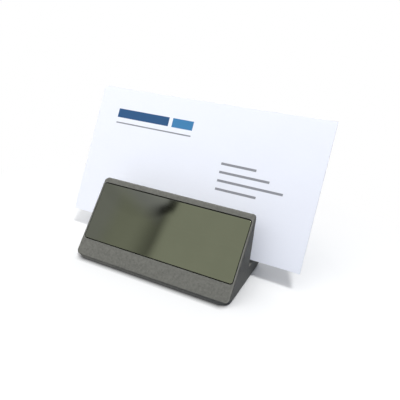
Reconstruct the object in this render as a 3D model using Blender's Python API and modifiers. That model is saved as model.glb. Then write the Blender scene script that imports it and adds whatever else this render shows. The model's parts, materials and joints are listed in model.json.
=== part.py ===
"""Desk stand for a phone and a business card.

A die-cast metal wedge carries a polished plate on its slope. Behind the ridge an open slot,
lined with soft strips, holds a leaning phone or card. The casting is cored from below, and a
screwed steel plate and a non-slip pad close it. The origin is the middle of the pad's underside.
"""

import bmesh
import bpy
from math import asin, atan2, cos, hypot, radians, sin, tan
from mathutils import Matrix, Vector

# Casting, outside
BODY_WIDTH = 0.0567
SLOPE_ANGLE = radians(55.0)
SLOPE_LENGTH = 0.02865
TOE_FLAT = 0.0003
RIDGE_TOP = 0.0011
REAR_WALL = 0.0032
REAR_DRAFT = radians(2.0)
TOE_CORNER_RADIUS = 0.0020
HEEL_CORNER_RADIUS = 0.0016
RIDGE_END_RADIUS = 0.0014
RIDGE_RADIUS = 0.0004
REAR_TOP_RADIUS = 0.0010
EDGE_RADIUS = 0.00035

# Slot
SLOT_WIDTH = 0.0104
SLOT_FLOOR_HEIGHT = 0.0057
SLOT_ROOT_RADIUS = 0.0007
LINER_THICKNESS = 0.0007
LINER_END_INSET = 0.0012
LINER_TOP_DROP = 0.0006

# Polished plate in its recess on the slope
RECESS_FROM_TOE = 0.0061
RECESS_LENGTH = 0.0210
RECESS_SIDE_RIM = 0.00065
PLATE_SIDE_GAP = 0.0002
PLATE_GAP = 0.00035
PLATE_THICKNESS = 0.0012
PLATE_CORNER = 0.0008
PLATE_EDGE = 0.00012
ADHESIVE_THICKNESS = 0.0003
ADHESIVE_INSET = 0.0012

# Cored underside
CORE_WALL = 0.0020
CORE_SIDE_WALL = 0.0024
CORE_ROOF = 0.0018
CORE_RADIUS = 0.0006
RIB_THICKNESS = 0.0016
CORE_CELLS = 3
BOSS_RADIUS = 0.0021
BORE_DEPTH = 0.0026

# Base plate and pad
BASE_FRONT_RIM = 0.0036
BASE_SIDE_RIM = 0.0020
BASE_REAR_RIM = 0.0022
BASE_CORNER = 0.0014
BASE_PLATE_THICKNESS = 0.0012
BASE_PLATE_CLEARANCE = 0.0003
PAD_THICKNESS = 0.0008
PAD_INSET = 0.0003
PAD_CORNER = 0.0028

# Countersunk screws
SCREW_SIDE_INSET = 0.0044
SCREW_END_INSET = 0.0034
SCREW_RADIUS = 0.0010
SCREW_LENGTH = 0.0034
SCREW_HEAD_RADIUS = 0.0019
SCREW_HEAD_HEIGHT = 0.0009
SCREW_HEAD_LAND = 0.0002
SCREW_CLEARANCE = 0.00012

# Card
CARD_WIDTH = 0.0900
CARD_HEIGHT = 0.0500
CARD_THICKNESS = 0.00035
CARD_SHIFT = -0.0006
CARD_FOOT_SETBACK = 0.0030
CARD_BOW = 0.0006
CARD_STRIPS = 16

# Seats between pieces, and how finely round shapes are drawn
SEAT_GAP = 0.0002
ARC_STEP = radians(15.0)
ROUND_SIDES = 24
OVERCUT = 0.0010
MERGE = 0.000001

# Heights above the table
BODY_BASE = PAD_THICKNESS + SEAT_GAP
RIDGE_HEIGHT = BODY_BASE + SLOPE_LENGTH * sin(SLOPE_ANGLE)
SLOT_FLOOR_TOP = SLOT_FLOOR_HEIGHT + SEAT_GAP + LINER_THICKNESS
LINER_TOP = RIDGE_HEIGHT - LINER_TOP_DROP
LEDGE_HEIGHT = BODY_BASE + BASE_PLATE_THICKNESS + SEAT_GAP

# Depths behind the toe, where the slope would meet the casting's underside
RIDGE_DEPTH = SLOPE_LENGTH * cos(SLOPE_ANGLE)
SLOT_FRONT = RIDGE_DEPTH + RIDGE_TOP
SLOT_LINER = SLOT_FRONT + SLOT_WIDTH
SLOT_REAR = SLOT_LINER + LINER_THICKNESS + SEAT_GAP
REAR_TOP = SLOT_REAR + REAR_WALL
BODY_DEPTH = REAR_TOP + (RIDGE_HEIGHT - BODY_BASE) * tan(REAR_DRAFT)
TOE = -BODY_DEPTH / 2
RECESS_DEPTH = PLATE_THICKNESS + ADHESIVE_THICKNESS + 2 * SEAT_GAP


def clear_scene():
    for old in list(bpy.data.objects):
        bpy.data.objects.remove(old, do_unlink=True)


def make_collection(name):
    collection = bpy.data.collections.new(name)
    bpy.context.scene.collection.children.link(collection)
    return collection


def make_material(name, colour, metallic, roughness):
    material = bpy.data.materials.new(name)
    material.use_nodes = True
    shader = material.node_tree.nodes["Principled BSDF"]
    shader.inputs["Base Color"].default_value = (*colour, 1.0)
    shader.inputs["Metallic"].default_value = metallic
    shader.inputs["Roughness"].default_value = roughness
    return material


def frame(origin, across, up):
    """Matrix of a drawing plane: u runs across, v runs up and w out of the plane."""
    across, up = Vector(across), Vector(up)
    axes = Matrix((across, up, across.cross(up))).transposed()
    return Matrix.Translation(origin) @ axes.to_4x4()


SIDE_VIEW = frame((0, TOE, 0), (0, 1, 0), (0, 0, 1))
FLOOR_VIEW = frame((0, TOE, 0), (1, 0, 0), (0, 1, 0))
FRONT_VIEW = frame((0, TOE, 0), (1, 0, 0), (0, 0, 1))
SLOPE_VIEW = frame((0, TOE, BODY_BASE), (1, 0, 0), (0, cos(SLOPE_ANGLE), sin(SLOPE_ANGLE)))


def arc(centre, start, end):
    """Points round a centre from start to end, the short way."""
    first = start - centre
    last = end - centre
    sweep = atan2(first.cross(last), first.dot(last))
    steps = max(2, round(abs(sweep) / ARC_STEP))
    turns = (Matrix.Rotation(sweep * step / steps, 2) for step in range(steps + 1))
    return [centre + turn @ first for turn in turns]


def rounded_outline(corners):
    """Closed outline through (u, v, radius) corners, with an arc where the radius isn't zero."""
    points = []
    for index, (u, v, radius) in enumerate(corners):
        corner = Vector((u, v))
        if radius == 0:
            points.append(corner)
            continue
        back = (Vector(corners[index - 1][:2]) - corner).normalized()
        ahead = (Vector(corners[(index + 1) % len(corners)][:2]) - corner).normalized()
        half_angle = back.angle(ahead) / 2
        centre = corner + (back + ahead).normalized() * radius / sin(half_angle)
        reach = radius / tan(half_angle)
        points += arc(centre, corner + back * reach, corner + ahead * reach)
    return points


def rounded_rectangle(left, low, right, high, radius):
    corners = [(left, low), (right, low), (right, high), (left, high)]
    return rounded_outline([(u, v, radius) for u, v in corners])


def add_object(name, mesh, collection, matrix=Matrix.Identity(4), material=None):
    made = bpy.data.objects.new(name, mesh)
    made.matrix_world = matrix
    collection.objects.link(made)
    if material:
        mesh.materials.clear()
        mesh.materials.append(material)
    if collection is CUTTERS:
        made.hide_render = True
        made.display_type = "WIRE"
    return made


def evaluated_mesh(source, name):
    """Welded mesh of an object as its curve or modifiers leave it, with flat faces made whole."""
    graph = bpy.context.evaluated_depsgraph_get()
    mesh = bpy.data.meshes.new_from_object(source.evaluated_get(graph))
    mesh.name = name
    cleaned = bmesh.new()
    cleaned.from_mesh(mesh)
    bmesh.ops.remove_doubles(cleaned, verts=cleaned.verts, dist=MERGE)
    bmesh.ops.dissolve_limit(cleaned, angle_limit=radians(0.5), verts=cleaned.verts, edges=cleaned.edges)
    bmesh.ops.recalc_face_normals(cleaned, faces=cleaned.faces)
    cleaned.to_mesh(mesh)
    cleaned.free()
    bpy.data.objects.remove(source, do_unlink=True)
    return mesh


def prism(name, outline, thickness, view, start, collection, material=None, ease=0):
    """Outline drawn in a view plane and raised by thickness, from start along w, with eased rims."""
    curve = bpy.data.curves.new(name, "CURVE")
    curve.dimensions = "2D"
    curve.fill_mode = "BOTH"
    curve.extrude = thickness / 2 - ease
    curve.bevel_depth = ease
    curve.bevel_resolution = 1
    curve.offset = -ease
    spline = curve.splines.new("POLY")
    spline.points.add(len(outline) - 1)
    for point, (u, v) in zip(spline.points, outline):
        point.co = (u, v, 0.0, 1.0)
    spline.use_cyclic_u = True
    drawn = bpy.data.objects.new(name + "_outline", curve)
    bpy.context.scene.collection.objects.link(drawn)
    mesh = evaluated_mesh(drawn, name)
    placed = view @ Matrix.Translation((0, 0, start + thickness / 2))
    return add_object(name, mesh, collection, placed, material)


def turned(name, profile):
    """Mesh of a profile of (radius, height) points, top to bottom, turned about the Z axis."""
    mesh = bpy.data.meshes.new(name)
    points = [(radius, 0, height) for radius, height in profile]
    mesh.from_pydata(points, [(i, i + 1) for i in range(len(points) - 1)], [])
    drawn = bpy.data.objects.new(name + "_profile", mesh)
    bpy.context.scene.collection.objects.link(drawn)
    spin = drawn.modifiers.new("Turn", "SCREW")
    spin.steps = ROUND_SIDES
    spin.render_steps = ROUND_SIDES
    spin.use_merge_vertices = True
    spin.merge_threshold = MERGE
    return evaluated_mesh(drawn, name)


def rod(name, radius, height):
    return turned(name, [(0, height), (radius, height), (radius, 0), (0, 0)])


def at_each(mesh, places):
    """One mesh with a copy of the given mesh at each place."""
    gathered = bmesh.new()
    for place in places:
        first = len(gathered.verts)
        gathered.from_mesh(mesh)
        gathered.verts.ensure_lookup_table()
        bmesh.ops.translate(gathered, verts=gathered.verts[first:], vec=place)
    gathered.to_mesh(mesh)
    gathered.free()
    return mesh


def combine(target, other, operation="DIFFERENCE"):
    boolean = target.modifiers.new(other.name, "BOOLEAN")
    boolean.operation = operation
    boolean.solver = "EXACT"
    boolean.object = other


def ease_edges(target, radius, segments, least_angle):
    bevel = target.modifiers.new("Eased edges", "BEVEL")
    bevel.width = radius
    bevel.segments = segments
    bevel.limit_method = "ANGLE"
    bevel.angle_limit = least_angle
    bevel.harden_normals = False


def shade_round(made):
    made.data.shade_smooth()
    made.data.set_sharp_from_angle(angle=radians(30))


def screw_places():
    """The four screw axes, from the base plate's own edges."""
    side = BODY_WIDTH / 2 - BASE_SIDE_RIM - SCREW_SIDE_INSET
    front = TOE + BASE_FRONT_RIM + SCREW_END_INSET
    rear = TOE + BODY_DEPTH - BASE_REAR_RIM - SCREW_END_INSET
    return [Vector((x, y, BODY_BASE)) for x in (-side, side) for y in (front, rear)]


def body_profile():
    """Side outline of the wedge and its slot. Toe and foot run past the plan that trims them."""
    slope = Vector((cos(SLOPE_ANGLE), sin(SLOPE_ANGLE)))
    toe = Vector((0, BODY_BASE)) - slope * 2 * OVERCUT / sin(SLOPE_ANGLE)
    low = BODY_BASE - 2 * OVERCUT
    heel = REAR_TOP + (RIDGE_HEIGHT - low) * tan(REAR_DRAFT)
    return rounded_outline([
        (toe.x, toe.y, 0),
        (heel, low, 0),
        (REAR_TOP, RIDGE_HEIGHT, REAR_TOP_RADIUS),
        (SLOT_REAR, RIDGE_HEIGHT, RIDGE_RADIUS),
        (SLOT_REAR, SLOT_FLOOR_HEIGHT, SLOT_ROOT_RADIUS),
        (SLOT_FRONT, SLOT_FLOOR_HEIGHT, SLOT_ROOT_RADIUS),
        (SLOT_FRONT, RIDGE_HEIGHT, RIDGE_RADIUS),
        (RIDGE_DEPTH, RIDGE_HEIGHT, RIDGE_RADIUS),
    ])


def corner_waste(u, v, across, up, radius):
    """Outline of what is cut off a square corner, which points across and up, to round it."""
    centre = Vector((u - across * radius, v - up * radius))
    outer = u + across * OVERCUT
    high = v + up * OVERCUT
    rounding = arc(centre, Vector((u, centre.y)), Vector((centre.x, v)))
    return rounding + [Vector((centre.x, high)), Vector((outer, high)), Vector((outer, centre.y))]


def core_outline():
    """Side outline of one cored cell: deep behind the slope, shallow under the slot."""
    rise = tan(SLOPE_ANGLE)
    wall_depth = (RECESS_DEPTH + CORE_WALL) / sin(SLOPE_ANGLE)
    low = LEDGE_HEIGHT - OVERCUT
    deep_rear = SLOT_FRONT - CORE_WALL
    apex = BODY_BASE + (deep_rear - wall_depth) * rise
    front = wall_depth + (low - BODY_BASE) / rise
    shallow_roof = SLOT_FLOOR_HEIGHT - CORE_ROOF
    return rounded_outline([
        (front, low, 0),
        (SLOT_REAR, low, 0),
        (SLOT_REAR, shallow_roof, CORE_RADIUS),
        (deep_rear, shallow_roof, CORE_RADIUS),
        (deep_rear, apex, CORE_RADIUS),
    ])


def make_body():
    """The casting: wedge and slot with rounded corners, recessed in front and cored below."""
    half = BODY_WIDTH / 2
    body = prism(
        "body_casting", body_profile(), BODY_WIDTH, SIDE_VIEW, -half, PARTS, CASTING, EDGE_RADIUS)
    wide = half + OVERCUT
    outline = rounded_rectangle(-wide, TOE_FLAT, wide, BODY_DEPTH, 0)
    height = RIDGE_HEIGHT + OVERCUT
    plan = prism("body_plan", outline, height, FLOOR_VIEW, BODY_BASE, CUTTERS)
    combine(body, plan, "INTERSECT")
    depth = BODY_DEPTH + 2 * OVERCUT
    foot = TOE_FLAT * cos(SLOPE_ANGLE)
    reach = (foot + TOE_CORNER_RADIUS) * tan(SLOPE_ANGLE) + 2 * OVERCUT
    for side, hand in ((-1, "left"), (1, "right")):
        top = corner_waste(side * half, RIDGE_HEIGHT, side, 1, RIDGE_END_RADIUS)
        combine(body, prism(f"{hand}_top_corner", top, depth, FRONT_VIEW, OVERCUT - depth, CUTTERS))
        toe = corner_waste(side * half, foot, side, -1, TOE_CORNER_RADIUS)
        combine(body, prism(f"{hand}_toe_corner", toe, reach, SLOPE_VIEW, OVERCUT - reach, CUTTERS))
        heel = corner_waste(side * half, BODY_DEPTH, side, 1, HEEL_CORNER_RADIUS)
        combine(body, prism(f"{hand}_heel_corner", heel, height, FLOOR_VIEW, 0, CUTTERS))

    recess_side = half - RECESS_SIDE_RIM
    high = RECESS_FROM_TOE + RECESS_LENGTH
    recess_corner = PLATE_CORNER + PLATE_SIDE_GAP
    recess = rounded_rectangle(-recess_side, RECESS_FROM_TOE, recess_side, high, recess_corner)
    combine(body, prism("plate_recess", recess, RECESS_DEPTH + OVERCUT, SLOPE_VIEW, -RECESS_DEPTH, CUTTERS))

    seat_side = half - BASE_SIDE_RIM
    seat_rear = BODY_DEPTH - BASE_REAR_RIM
    seat = rounded_rectangle(-seat_side, BASE_FRONT_RIM, seat_side, seat_rear, BASE_CORNER)
    seat_start = BODY_BASE - OVERCUT
    seat_depth = LEDGE_HEIGHT - seat_start
    combine(body, prism("base_plate_seat", seat, seat_depth, FLOOR_VIEW, seat_start, CUTTERS))

    bosses = at_each(rod("bosses", BOSS_RADIUS, RIDGE_HEIGHT), screw_places())
    boss_guide = add_object("bosses", bosses, CUTTERS)
    core_width = BODY_WIDTH - 2 * CORE_SIDE_WALL
    cell_width = (core_width - (CORE_CELLS - 1) * RIB_THICKNESS) / CORE_CELLS
    for cell in range(CORE_CELLS):
        start = -core_width / 2 + cell * (cell_width + RIB_THICKNESS)
        core = prism(f"core_{cell + 1}", core_outline(), cell_width, SIDE_VIEW, start, CUTTERS)
        combine(core, boss_guide)
        combine(body, core)

    bore_height = LEDGE_HEIGHT - BODY_BASE + BORE_DEPTH
    bores = at_each(rod("screw_bores", SCREW_RADIUS + SCREW_CLEARANCE, bore_height), screw_places())
    combine(body, add_object("screw_bores", bores, CUTTERS))
    shade_round(body)


def make_face_plate():
    """The polished plate and the tape sheet that holds it, in the recess on the slope."""
    side = BODY_WIDTH / 2 - RECESS_SIDE_RIM - PLATE_SIDE_GAP
    low = RECESS_FROM_TOE + PLATE_GAP
    high = RECESS_FROM_TOE + RECESS_LENGTH - PLATE_GAP
    outline = rounded_rectangle(-side, low, side, high, PLATE_CORNER)
    plate = prism("face_plate", outline, PLATE_THICKNESS, SLOPE_VIEW, -PLATE_THICKNESS, PARTS, POLISHED)
    ease_edges(plate, PLATE_EDGE, 2, radians(60))
    shade_round(plate)

    inset = ADHESIVE_INSET
    tape = rounded_rectangle(-side + inset, low + inset, side - inset, high - inset, PLATE_CORNER)
    under_plate = -PLATE_THICKNESS - SEAT_GAP - ADHESIVE_THICKNESS
    prism("face_plate_adhesive", tape, ADHESIVE_THICKNESS, SLOPE_VIEW, under_plate, PARTS, TAPE)


def make_slot_liners():
    """Soft strips on the slot's floor and rear wall, short of the casting's ends and top."""
    side = BODY_WIDTH / 2 - LINER_END_INSET
    corner = LINER_THICKNESS / 2
    front = SLOT_FRONT + SLOT_ROOT_RADIUS
    rear = SLOT_REAR - SLOT_ROOT_RADIUS
    floor = rounded_rectangle(-side, front, side, rear, corner)
    floor_start = SLOT_FLOOR_HEIGHT + SEAT_GAP
    prism("slot_floor_liner", floor, LINER_THICKNESS, FLOOR_VIEW, floor_start, PARTS, LINER)

    rear_view = frame((0, TOE + SLOT_REAR, 0), (1, 0, 0), (0, 0, 1))
    wall = rounded_rectangle(-side, SLOT_FLOOR_TOP + SEAT_GAP, side, LINER_TOP, corner)
    prism("slot_rear_liner", wall, LINER_THICKNESS, rear_view, SEAT_GAP, PARTS, LINER)


def make_base():
    """Steel base plate in the casting's seat, its four countersunk screws, and the pad over them."""
    side = BODY_WIDTH / 2 - BASE_SIDE_RIM - BASE_PLATE_CLEARANCE
    front = BASE_FRONT_RIM + BASE_PLATE_CLEARANCE
    rear = BODY_DEPTH - BASE_REAR_RIM - BASE_PLATE_CLEARANCE
    outline = rounded_rectangle(-side, front, side, rear, BASE_CORNER - BASE_PLATE_CLEARANCE)
    plate = prism("base_plate", outline, BASE_PLATE_THICKNESS, FLOOR_VIEW, BODY_BASE, PARTS, STEEL)

    hole = SCREW_RADIUS + SCREW_CLEARANCE
    sink = SCREW_HEAD_RADIUS + SCREW_CLEARANCE
    through = BASE_PLATE_THICKNESS + OVERCUT
    countersink = [
        (0, through),
        (hole, through),
        (hole, SCREW_HEAD_HEIGHT + SCREW_CLEARANCE),
        (sink, SCREW_HEAD_LAND + SCREW_CLEARANCE),
        (sink, -OVERCUT),
        (0, -OVERCUT),
    ]
    holes = at_each(turned("countersinks", countersink), screw_places())
    combine(plate, add_object("countersinks", holes, CUTTERS))
    shade_round(plate)

    screw = [
        (0, SCREW_LENGTH),
        (SCREW_RADIUS * 0.7, SCREW_LENGTH),
        (SCREW_RADIUS, SCREW_LENGTH - SCREW_RADIUS * 0.3),
        (SCREW_RADIUS, SCREW_HEAD_HEIGHT),
        (SCREW_HEAD_RADIUS, SCREW_HEAD_LAND),
        (SCREW_HEAD_RADIUS, 0),
        (0, 0),
    ]
    turned_screw = turned("base_screw", screw)
    for number, place in enumerate(screw_places(), 1):
        standing = Matrix.Translation(place)
        shade_round(add_object(f"base_screw_{number}", turned_screw, PARTS, standing, ZINC_PLATED))

    pad_side = BODY_WIDTH / 2 - PAD_INSET
    pad = rounded_rectangle(-pad_side, TOE_FLAT + PAD_INSET, pad_side, BODY_DEPTH - PAD_INSET, PAD_CORNER)
    prism("base_pad", pad, PAD_THICKNESS, FLOOR_VIEW, 0, PARTS, PAD_RUBBER)


def card_lean():
    """Angle from upright at which the card's back meets the rear liner's top edge."""
    foot_height = SLOT_FLOOR_TOP + SEAT_GAP
    back = SLOT_LINER - SLOT_FRONT - CARD_FOOT_SETBACK
    rise = LINER_TOP - foot_height
    offset = CARD_THICKNESS / 2 + SEAT_GAP
    return atan2(back, rise) - asin(offset / hypot(back, rise))


def make_card():
    """A card that stands on the floor liner and leans back, bowed a little across its width."""
    lean = card_lean()
    foot_height = SLOT_FLOOR_TOP + SEAT_GAP + CARD_THICKNESS / 2 * sin(lean)
    foot = Vector((CARD_SHIFT, TOE + SLOT_FRONT + CARD_FOOT_SETBACK, foot_height))
    half = CARD_WIDTH / 2
    strip = CARD_WIDTH / CARD_STRIPS
    bent = bmesh.new()
    bmesh.ops.create_grid(bent, x_segments=CARD_STRIPS, y_segments=1, size=0.5)
    for vertex in bent.verts:
        x = round(vertex.co.x * CARD_STRIPS) * strip
        vertex.co = Vector((x, (vertex.co.y + 0.5) * CARD_HEIGHT, CARD_BOW * (x / half) ** 2))
    mesh = bpy.data.meshes.new("business_card")
    bent.to_mesh(mesh)
    bent.free()
    view = frame(foot, (1, 0, 0), (0, sin(lean), cos(lean)))
    card = add_object("business_card", mesh, PARTS, view, CARD_STOCK)
    sheet = card.modifiers.new("Card stock", "SOLIDIFY")
    sheet.thickness = CARD_THICKNESS
    sheet.offset = 0
    card.data.shade_smooth()


clear_scene()
PARTS = make_collection("phone_and_card_holder")
CUTTERS = make_collection("cutters")

CASTING = make_material("cast_gunmetal", (0.150, 0.148, 0.138), 0.85, 0.45)
POLISHED = make_material("polished_black_nickel", (0.150, 0.160, 0.105), 1.0, 0.06)
TAPE = make_material("tape", (0.75, 0.74, 0.70), 0.0, 0.6)
LINER = make_material("liner_foam", (0.020, 0.020, 0.021), 0.0, 0.9)
STEEL = make_material("steel_plate", (0.45, 0.45, 0.44), 1.0, 0.4)
ZINC_PLATED = make_material("zinc_plated_steel", (0.62, 0.63, 0.64), 1.0, 0.3)
PAD_RUBBER = make_material("pad_rubber", (0.025, 0.025, 0.026), 0.0, 0.85)
CARD_STOCK = make_material("card_stock", (0.88, 0.89, 0.92), 0.0, 0.55)

make_body()
make_face_plate()
make_slot_liners()
make_base()
make_card()
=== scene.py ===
"""Looks for a desk stand that holds a phone and a business card.

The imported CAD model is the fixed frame. Each operator dresses one piece or one group of like
pieces, and the last one sets the stage: floor, lamps, surroundings and camera.
"""

import json
from math import cos, radians, sin

import bmesh
import bpy
from bpy.props import (
    FloatProperty,
    FloatVectorProperty,
    IntProperty,
    PointerProperty,
)
from mathutils import Matrix, Vector


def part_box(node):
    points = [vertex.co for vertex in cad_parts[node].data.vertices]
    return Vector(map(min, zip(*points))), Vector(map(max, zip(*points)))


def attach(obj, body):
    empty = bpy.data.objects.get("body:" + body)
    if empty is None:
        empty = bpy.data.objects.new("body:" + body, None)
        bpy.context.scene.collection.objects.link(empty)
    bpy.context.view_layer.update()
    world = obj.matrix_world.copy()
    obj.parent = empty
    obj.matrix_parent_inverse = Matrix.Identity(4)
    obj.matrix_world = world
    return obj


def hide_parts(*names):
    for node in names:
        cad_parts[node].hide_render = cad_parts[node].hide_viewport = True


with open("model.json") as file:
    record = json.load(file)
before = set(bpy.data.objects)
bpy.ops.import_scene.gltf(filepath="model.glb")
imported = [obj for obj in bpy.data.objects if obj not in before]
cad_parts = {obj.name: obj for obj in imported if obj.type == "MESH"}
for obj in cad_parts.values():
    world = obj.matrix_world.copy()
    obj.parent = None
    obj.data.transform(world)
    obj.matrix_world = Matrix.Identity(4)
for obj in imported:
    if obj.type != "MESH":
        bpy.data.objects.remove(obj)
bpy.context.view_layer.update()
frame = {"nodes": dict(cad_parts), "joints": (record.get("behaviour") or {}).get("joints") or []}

bl_info = {
    "name": "Phone and card stand",
    "version": (1, 0, 0),
    "blender": (4, 5, 0),
    "location": "3D View > Sidebar > Stand",
    "description": "Dresses the packed model of a desk stand for a phone and a card",
    "category": "Object",
}

NODES = frame["nodes"]
CARD_UP = Vector(frame["joints"][0]["axis"])
MM = 0.001
WHITE = (1.0, 1.0, 1.0, 1.0)

# Points nearer to each other than MERGE are one. Faces whose normals' dot product is above PARALLEL
# point the same way. Flat pieces have CORNER_STEPS points round each corner.
MERGE = 0.000001
PARALLEL = 0.9999
CORNER_STEPS = 14

# Half the floor's width, and how far it lies under the stand
FLOOR_REACH = 3.0
FLOOR_DROP = 0.02 * MM
# The contact shade, painted into the floor's colour, lies in front of the stand's front edge, and
# fades at both of its ends
CONTACT_FADE = (-0.6 * MM, 0.3 * MM)
CONTACT_INSET = 1.5 * MM
CONTACT_SOFT = 3 * MM
CONTACT_POWER = 2.6

# How soon a direction counts as wholly right or left in the surroundings
SIDE_GAIN = 1.6
# The studio's left side as white metal mirrors it: a screen that ends at a leaning edge, an arm that
# curves over it, a post on the edge, and cooler greys at the top and at the far left. A direction is
# told by how far it lies beside the edge, less than 0 on its left, and by its rise, both as parts of
# a vector of length 1. A band is its low side, its high side and the width of its soft borders. A
# fade is where it starts and how wide it is. A ramp's stops are pairs of a place, where 0.5 is the
# edge, and a grey level. TOP_STOPS alone go by rise. ARM_STOPS say how much light the arm takes away.
SCREEN_EDGE = (0.8928, -0.4223, 0.1568)
SCREEN_SPREAD = 2.5
SCREEN_STOPS = [
    (0.0, 0.72), (0.20, 0.71), (0.35, 0.77), (0.39, 0.68),
    (0.43, 0.52), (0.475, 0.36), (0.5, 0.70), (0.525, 1.0),
]
LEFT_BAND = (-1.0, -0.012, 0.010)
TOP_FADE = (0.006, 0.012)
TOP_STOPS = [(0.60, 0.75), (0.63, 0.79), (0.65, 0.94)]
ARM_LOWEST = (-0.12, 0.592)
ARM_CURVE = 4.0
ARM_BAND = (-0.013, 0.009, 0.010)
ARM_STOPS = [
    (0.10, 0.05), (0.36, 0.10), (0.42, 0.32), (0.45, 0.90),
    (0.49, 0.94), (0.507, 0.80), (0.522, 0.0),
]
POST_BAND = (-0.014, 0.007, 0.006)
POST_FADE = (0.6336, 0.012)
POST_SHADE = 0.82
COOL_HIGH_FADE = (0.594, 0.03)
COOL_FAR_FADE = (0.102, 0.03)
COOL_FAR_SHARE = 0.7
COOL_METAL = (0.80, 0.78, 1.0)


def length(name, description, default):
    return FloatProperty(
        name=name, description=description, default=default, subtype="DISTANCE", unit="LENGTH",
        precision=5,
    )


def angle(name, description, degrees):
    return FloatProperty(
        name=name, description=description, default=radians(degrees), subtype="ANGLE", unit="ROTATION",
    )


def share(name, description, default):
    return FloatProperty(
        name=name, description=description, default=default, min=0, max=1, subtype="FACTOR",
    )


def colour(name, description, default):
    return FloatVectorProperty(
        name=name, description=description, default=default, size=3, min=0, max=1, subtype="COLOR",
    )


def place(name, description, default):
    return FloatVectorProperty(
        name=name, description=description, default=default, size=3, subtype="TRANSLATION",
        unit="LENGTH",
    )


def amount(name, description, default, unit="NONE"):
    return FloatProperty(name=name, description=description, default=default, unit=unit)


class CastingSettings(bpy.types.PropertyGroup):
    paint: colour("Paint", "Colour of the satin gunmetal paint", (0.142, 0.142, 0.127))
    worn: colour("Worn edges", "Colour where edges have rubbed bright", (0.22, 0.22, 0.205))
    roughness: share("Roughness", "Roughness of the paint", 0.50)
    metallic: share("Metallic", "How metallic the paint looks", 0.0)
    specular: share("Specular", "How strongly the paint shines", 0.05)
    grain: length("Grain", "Width of the sandy cast grain", 0.00045)
    grain_depth: length("Grain depth", "Depth of the sandy cast grain", 0.00003)
    rim_ease: length("Rim ease", "Width of the broken edge round the plate's recess", 0.00010)
    narrow: length("Narrow face", "Faces narrower than this count as a worn edge", 0.00028)


class PlateSettings(bpy.types.PropertyGroup):
    metal: colour("Metal", "Colour of the polished plate", (0.162, 0.173, 0.118))
    roughness: share("Roughness", "Roughness of the polish", 0.035)
    edge: length("Edge", "Radius that the polishing gives the plate's edge", 0.00009)
    tape: colour("Tape", "Colour of the tape behind the plate", (0.75, 0.74, 0.70))
    tape_edge: length("Tape edge", "Radius of the tape's edges", 0.00004)


class LinerSettings(bpy.types.PropertyGroup):
    foam: colour("Foam", "Colour of the slot liners", (0.020, 0.020, 0.021))
    dust: colour("Dust", "Colour of the dust on the slot liners", (0.16, 0.16, 0.165))
    edge: length("Edge", "Radius of the liners' soft edges", 0.00016)
    cell: length("Cell", "Width of one cell of the foam", 0.00022)


class BaseSettings(bpy.types.PropertyGroup):
    steel: colour("Steel", "Colour of the base plate", (0.45, 0.45, 0.44))
    zinc: colour("Zinc", "Colour of the plated screws", (0.62, 0.63, 0.64))
    warm_zinc: colour("Warm zinc", "Colour of the plating's warmer patches", (0.60, 0.57, 0.44))
    rubber: colour("Rubber", "Colour of the pad", (0.05, 0.05, 0.048))
    rubber_edge: colour("Rubber edge", "Colour of the pad's cut edge", (0.17, 0.17, 0.155))
    pad_edge: length("Pad edge", "Radius of the pad's edges", 0.00012)
    head_land: length("Head land", "Height of the straight rim of the screws' heads", 0.0002)
    head_height: length("Head height", "Height of the screws' countersunk heads", 0.0009)
    shank_radius: length("Shank radius", "Radius of the screws over their thread", 0.0010)
    drive_width: length("Drive width", "Width of each slot of the screws' cross", 0.00034)
    drive_length: length("Drive length", "Length of each slot of the screws' cross", 0.0021)
    drive_depth: length("Drive depth", "Depth of the screws' cross", 0.0007)
    thread_pitch: length("Thread pitch", "Rise of the thread in one turn", 0.00045)
    seed: IntProperty(name="Turn seed", description="Which way each screw has come to rest", default=4)


class CardSettings(bpy.types.PropertyGroup):
    paper: colour("Paper", "Colour of the card", (0.81, 0.834, 0.905))
    shine: share("Shine", "How strongly the card shines", 0.25)
    dark_ink: colour("Dark ink", "Colour of the long printed bar", (0.022, 0.085, 0.205))
    light_ink: colour("Light ink", "Colour of the short printed bar", (0.045, 0.20, 0.40))
    grey_ink: colour("Grey ink", "Colour of the printed lines", (0.16, 0.165, 0.18))
    thickness: length("Thickness", "Thickness of the card", 0.00035)
    columns: IntProperty(name="Columns", description="Faces across the card", default=60, min=8)
    rows: IntProperty(name="Rows", description="Faces up the card", default=16, min=4)


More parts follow.
